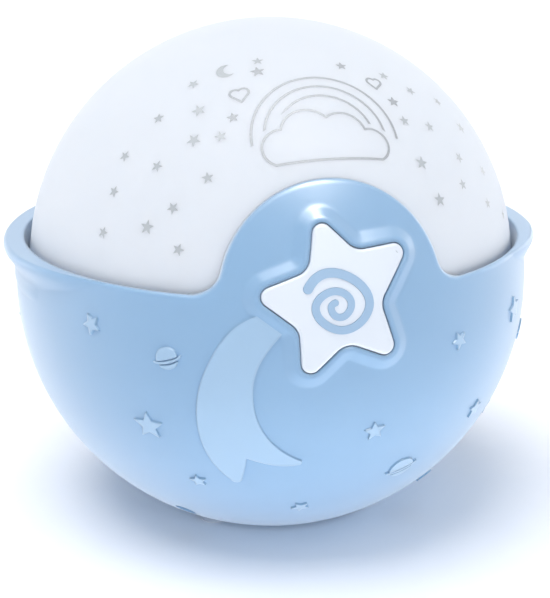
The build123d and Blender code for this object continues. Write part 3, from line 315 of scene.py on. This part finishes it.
# ------------------------------------------------------------------ dome picture
# A cloud and a rainbow with hearts and stars are drawn in lines sunk 0.35 mm into the dome
# and filled with grey ink, which lies a little unevenly in them.
ink_grey, tree, surface = material("grey_printing_ink")
place = add(tree, "TexCoord").outputs["Object"]
speckle = add(tree, "TexNoise", {"Scale": 1 / (0.3 * MM), "Detail": 3.0}, {"Vector": place})
cover = add(tree, "ValToRGB", None, {"Fac": speckle.outputs["Fac"]})
cover.color_ramp.elements[0].position = 0.25
cover.color_ramp.elements[0].color = srgb("#b7bbc0")
cover.color_ramp.elements[1].position = 0.5
cover.color_ramp.elements[1].color = srgb("#979ca2")
tree.links.new(cover.outputs["Color"], surface.inputs["Base Color"])
set_surface(surface, Roughness=0.55)
finish_nodes(ink_grey, "dome_picture")


# ------------------------------------------------------------------ star button
# The push button is a rounded star of white ABS, polished a little more than the bowl,
# since hands find it in the dark.
star_white, *_ = moulded(
    "white_satin_abs", ("#dde4ed", "#d9e1ea"), 0.34, 0.3, 0.006, IOR=1.53)
finish_nodes(star_white, "star_button")


# ------------------------------------------------------------------ spiral and slider knobs
# The spiral is a separate blue moulding pressed into a groove of the star.  The two slider
# knobs at the back are moulded in the same colour.
inlay_blue, *_ = moulded("sky_blue_abs", ("#98b6d2", "#94b2cf"), 0.42, 0.3, 0.01, IOR=1.53)
finish_nodes(inlay_blue, "star_spiral", "timer_knob", "volume_knob")


# ------------------------------------------------------------------ white fittings
# What carries the works is moulded in white ABS, left as it comes from the tool: the deck
# under the dome, the lamp tower and its reflector, the button's carrier, the battery tray,
# the plate round the sliders and the wire sockets.
fitting_white, *_ = moulded(
    "white_fitting_abs", ("#e9ebec", "#e4e6e8"), 0.48, 0.5, 0.015, IOR=1.53,
    Subsurface_Weight=0.1, Subsurface_Radius=(1.0, 1.0, 1.0), Subsurface_Scale=2 * MM)
finish_nodes(fitting_white, "deck", "lamp_tower", "reflector", "button_carrier",
             "battery_tray", "control_panel", "wire_sockets")


# ------------------------------------------------------------------ rubber dome and feet
# The spring under the button is a silicone dome; a copy of it, attached to the housing,
# stands in its place.  The feet are discs of soft rubber glued in recesses.  Both are matt,
# and the feet have picked up a little dust.
silicone, *_ = moulded(
    "pale_silicone", ("#d9dcdf", "#cfd3d7"), 0.55, 0.4, 0.01, IOR=1.41,
    Subsurface_Weight=0.4, Subsurface_Radius=(1.0, 1.0, 1.0), Subsurface_Scale=3 * MM)
finish_nodes(silicone, "button_rubber_dome")

spring_mesh = nodes["button_rubber_dome"].data.copy()
spring_dome = bpy.data.objects.new("button_spring_dome", spring_mesh)
scene.collection.objects.link(spring_dome)
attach(spring_dome, "housing")
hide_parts("button_rubber_dome")
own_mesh(spring_dome)

foot_rubber, *_ = moulded(
    "blue_grey_rubber", ("#a9b4c4", "#b7c0cc"), 0.8, 0.2, 0.03, Specular_IOR_Level=0.3)
finish_nodes(foot_rubber, "rubber_feet")


# ------------------------------------------------------------------ circuit boards
# Glass-fibre boards under green solder mask, with copper tracks 0.5 mm wide that show
# through it, and tinned holes.
board_green, tree, surface = material("green_solder_mask")
place = add(tree, "TexCoord").outputs["Object"]
track_unit = 9 * MM
hole_spacing = 5 * MM
hole_share = 0.1                            # a hole's radius, of the spacing
tracks = add(tree, "TexBrick",
             {"Scale": 1 / track_unit, "Color1": srgb("#12573a"), "Color2": srgb("#155f40"),
              "Mortar": srgb("#2c8a5b"), "Mortar Size": 0.03, "Brick Width": 0.6,
              "Row Height": 0.22}, {"Vector": place})
spots = add(tree, "TexVoronoi", {"Scale": 1 / hole_spacing}, {"Vector": place})
hole = add(tree, "Math", {"operation": "LESS_THAN", 1: hole_share},
           {0: spots.outputs["Distance"]})
tinned = add(tree, "MixRGB", {"Color2": srgb("#c4c6c4")},
             {"Fac": hole.outputs[0], "Color1": tracks.outputs["Color"]})
tree.links.new(tinned.outputs["Color"], surface.inputs["Base Color"])
tree.links.new(hole.outputs[0], surface.inputs["Metallic"])
set_surface(surface, Roughness=0.32)
finish_nodes(board_green, "button_board", "led_board", "main_board", "control_board")


# ------------------------------------------------------------------ chips and slide switches
# The sound chips are moulded in black epoxy, and the bodies of the slide switches in black
# nylon; both are matt with a coarse grain.
black_epoxy, *_ = moulded("black_epoxy", ("#1b1b1e", "#222226"), 0.6, 0.15, 0.02)
finish_nodes(black_epoxy, "sound_chips", "timer_switch_body", "volume_switch_body")


# ------------------------------------------------------------------ capacitors
# Aluminium cans in a shrunk black sleeve: the sleeve is glossy, and the can shows bare on
# the top.
can_sleeve, tree, surface = material("sleeved_aluminium_can")
facing = add(tree, "SeparateXYZ", None, {0: add(tree, "NewGeometry").outputs["Normal"]})
top = add(tree, "Math", {"operation": "GREATER_THAN", 1: 0.9}, {0: facing.outputs["Z"]})
skin = add(tree, "MixRGB", {"Color1": srgb("#1d2024"), "Color2": srgb("#c9cbcd")},
           {"Fac": top.outputs[0]})
tree.links.new(skin.outputs["Color"], surface.inputs["Base Color"])
tree.links.new(top.outputs[0], surface.inputs["Metallic"])
set_surface(surface, Roughness=0.3)
finish_nodes(can_sleeve, "capacitors")


# ------------------------------------------------------------------ LEDs
# Water-clear epoxy lenses, cast in a mould, over a pale chip that tints them.
led_clear, tree, surface = material("clear_epoxy_lens")
place = add(tree, "TexCoord").outputs["Object"]
ripple_length = 1.5 * MM
ripple = add(tree, "TexNoise", {"Scale": 1 / ripple_length, "Detail": 1.0}, {"Vector": place})
tint = add(tree, "MixRGB", {"Color1": srgb("#f4f7fb"), "Color2": srgb("#e6edf4")},
           {"Fac": ripple.outputs["Fac"]})
tree.links.new(tint.outputs["Color"], surface.inputs["Base Color"])
set_surface(surface, Roughness=0.06, IOR=1.52, Transmission_Weight=0.85)
finish_nodes(led_clear, "leds")


# ------------------------------------------------------------------ metal parts
# Screws are zinc-plated steel, the cells' springs and plates are nickel-plated, and the
# speaker's frame and magnet are plated darker.  Plating is a little cloudy.
def plated(name, colours, roughness, cloud):
    """Plated metal whose colour and gloss vary over this many mm."""
    made, tree, surface = material(name)
    place = add(tree, "TexCoord").outputs["Object"]
    clouds = add(tree, "TexNoise", {"Scale": 1 / (cloud * MM), "Detail": 4.0},
                 {"Vector": place})
    tone = add(tree, "MixRGB", {"Color1": srgb(colours[0]), "Color2": srgb(colours[1])},
               {"Fac": clouds.outputs["Fac"]})
    gloss = add(tree, "MapRange", {"To Min": roughness - 0.08, "To Max": roughness + 0.12},
                {"Value": clouds.outputs["Fac"]})
    tree.links.new(tone.outputs["Color"], surface.inputs["Base Color"])
    tree.links.new(gloss.outputs["Result"], surface.inputs["Roughness"])
    set_surface(surface, Metallic=1.0)
    return made


zinc = plated("zinc_plated_steel", ("#b9bcc2", "#a9acb2"), 0.32, 1.5)
finish_nodes(zinc, *[name for name in nodes if name.endswith(("_screws", "_screw"))])
nickel = plated("nickel_plated_spring_steel", ("#cfcdc6", "#bfbdb6"), 0.22, 2.0)
finish_nodes(nickel, "cell_springs", "cell_plates")
dark_plate = plated("dark_plated_steel", ("#5a5d62", "#4b4e53"), 0.4, 3.0)
finish_nodes(dark_plate, "speaker_frame", "speaker_magnet")


# ------------------------------------------------------------------ speaker cone
# The cone is pressed from dark paper pulp, with fibres a millimetre or two long.
cone_paper, tree, surface = material("dark_pulp_paper")
place = add(tree, "TexCoord").outputs["Object"]
pulp_grain = 0.8 * MM
pulp = add(tree, "TexNoise", {"Scale": 1 / pulp_grain, "Detail": 6.0, "Roughness": 0.7},
           {"Vector": place})
tone = add(tree, "MixRGB", {"Color1": srgb("#242426"), "Color2": srgb("#3a3a3c")},
           {"Fac": pulp.outputs["Fac"]})
bump = add(tree, "Bump", {"Strength": 0.6, "Distance": 0.08 * MM},
           {"Height": pulp.outputs["Fac"]})
tree.links.new(tone.outputs["Color"], surface.inputs["Base Color"])
tree.links.new(bump.outputs["Normal"], surface.inputs["Normal"])
set_surface(surface, Roughness=0.9)
finish_nodes(cone_paper, "speaker_cone")


# ------------------------------------------------------------------ cells
# Three AAA cells in a printed film: dark grey with a copper-coloured band at the positive
# end.  The steel can shows at both ends.  The middle cell lies the other way round.
cell_jacket, tree, surface = material("cell_jacket_film")
side_cells = 5.5 * MM                       # the outer two lie further aside than this
band_start = 9 * MM                         # from the cell's middle, along it
film_end = 22.2 * MM
where = add(tree, "SeparateXYZ", None, {0: add(tree, "TexCoord").outputs["Object"]})
aside = add(tree, "Math", {"operation": "ABSOLUTE"}, {0: where.outputs["Y"]})
outer = add(tree, "Math", {"operation": "GREATER_THAN", 1: side_cells}, {0: aside.outputs[0]})
turn = add(tree, "MapRange", {"To Min": -1.0, "To Max": 1.0}, {"Value": outer.outputs[0]})
along = add(tree, "Math", {"operation": "MULTIPLY"}, {0: where.outputs["X"], 1: turn.outputs[0]})
band = add(tree, "Math", {"operation": "GREATER_THAN", 1: band_start}, {0: along.outputs[0]})
far = add(tree, "Math", {"operation": "ABSOLUTE"}, {0: where.outputs["X"]})
bare = add(tree, "Math", {"operation": "GREATER_THAN", 1: film_end}, {0: far.outputs[0]})
film = add(tree, "MixRGB", {"Color1": srgb("#2a2d33"), "Color2": srgb("#a8673c")},
           {"Fac": band.outputs[0]})
skin = add(tree, "MixRGB", {"Color2": srgb("#bdbcb8")},
           {"Fac": bare.outputs[0], "Color1": film.outputs["Color"]})
shine = add(tree, "Math", {"operation": "MAXIMUM"}, {0: band.outputs[0], 1: bare.outputs[0]})
tree.links.new(skin.outputs["Color"], surface.inputs["Base Color"])
tree.links.new(shine.outputs[0], surface.inputs["Metallic"])
set_surface(surface, Roughness=0.3, Coat_Weight=0.4)
finish_nodes(cell_jacket, "cells")
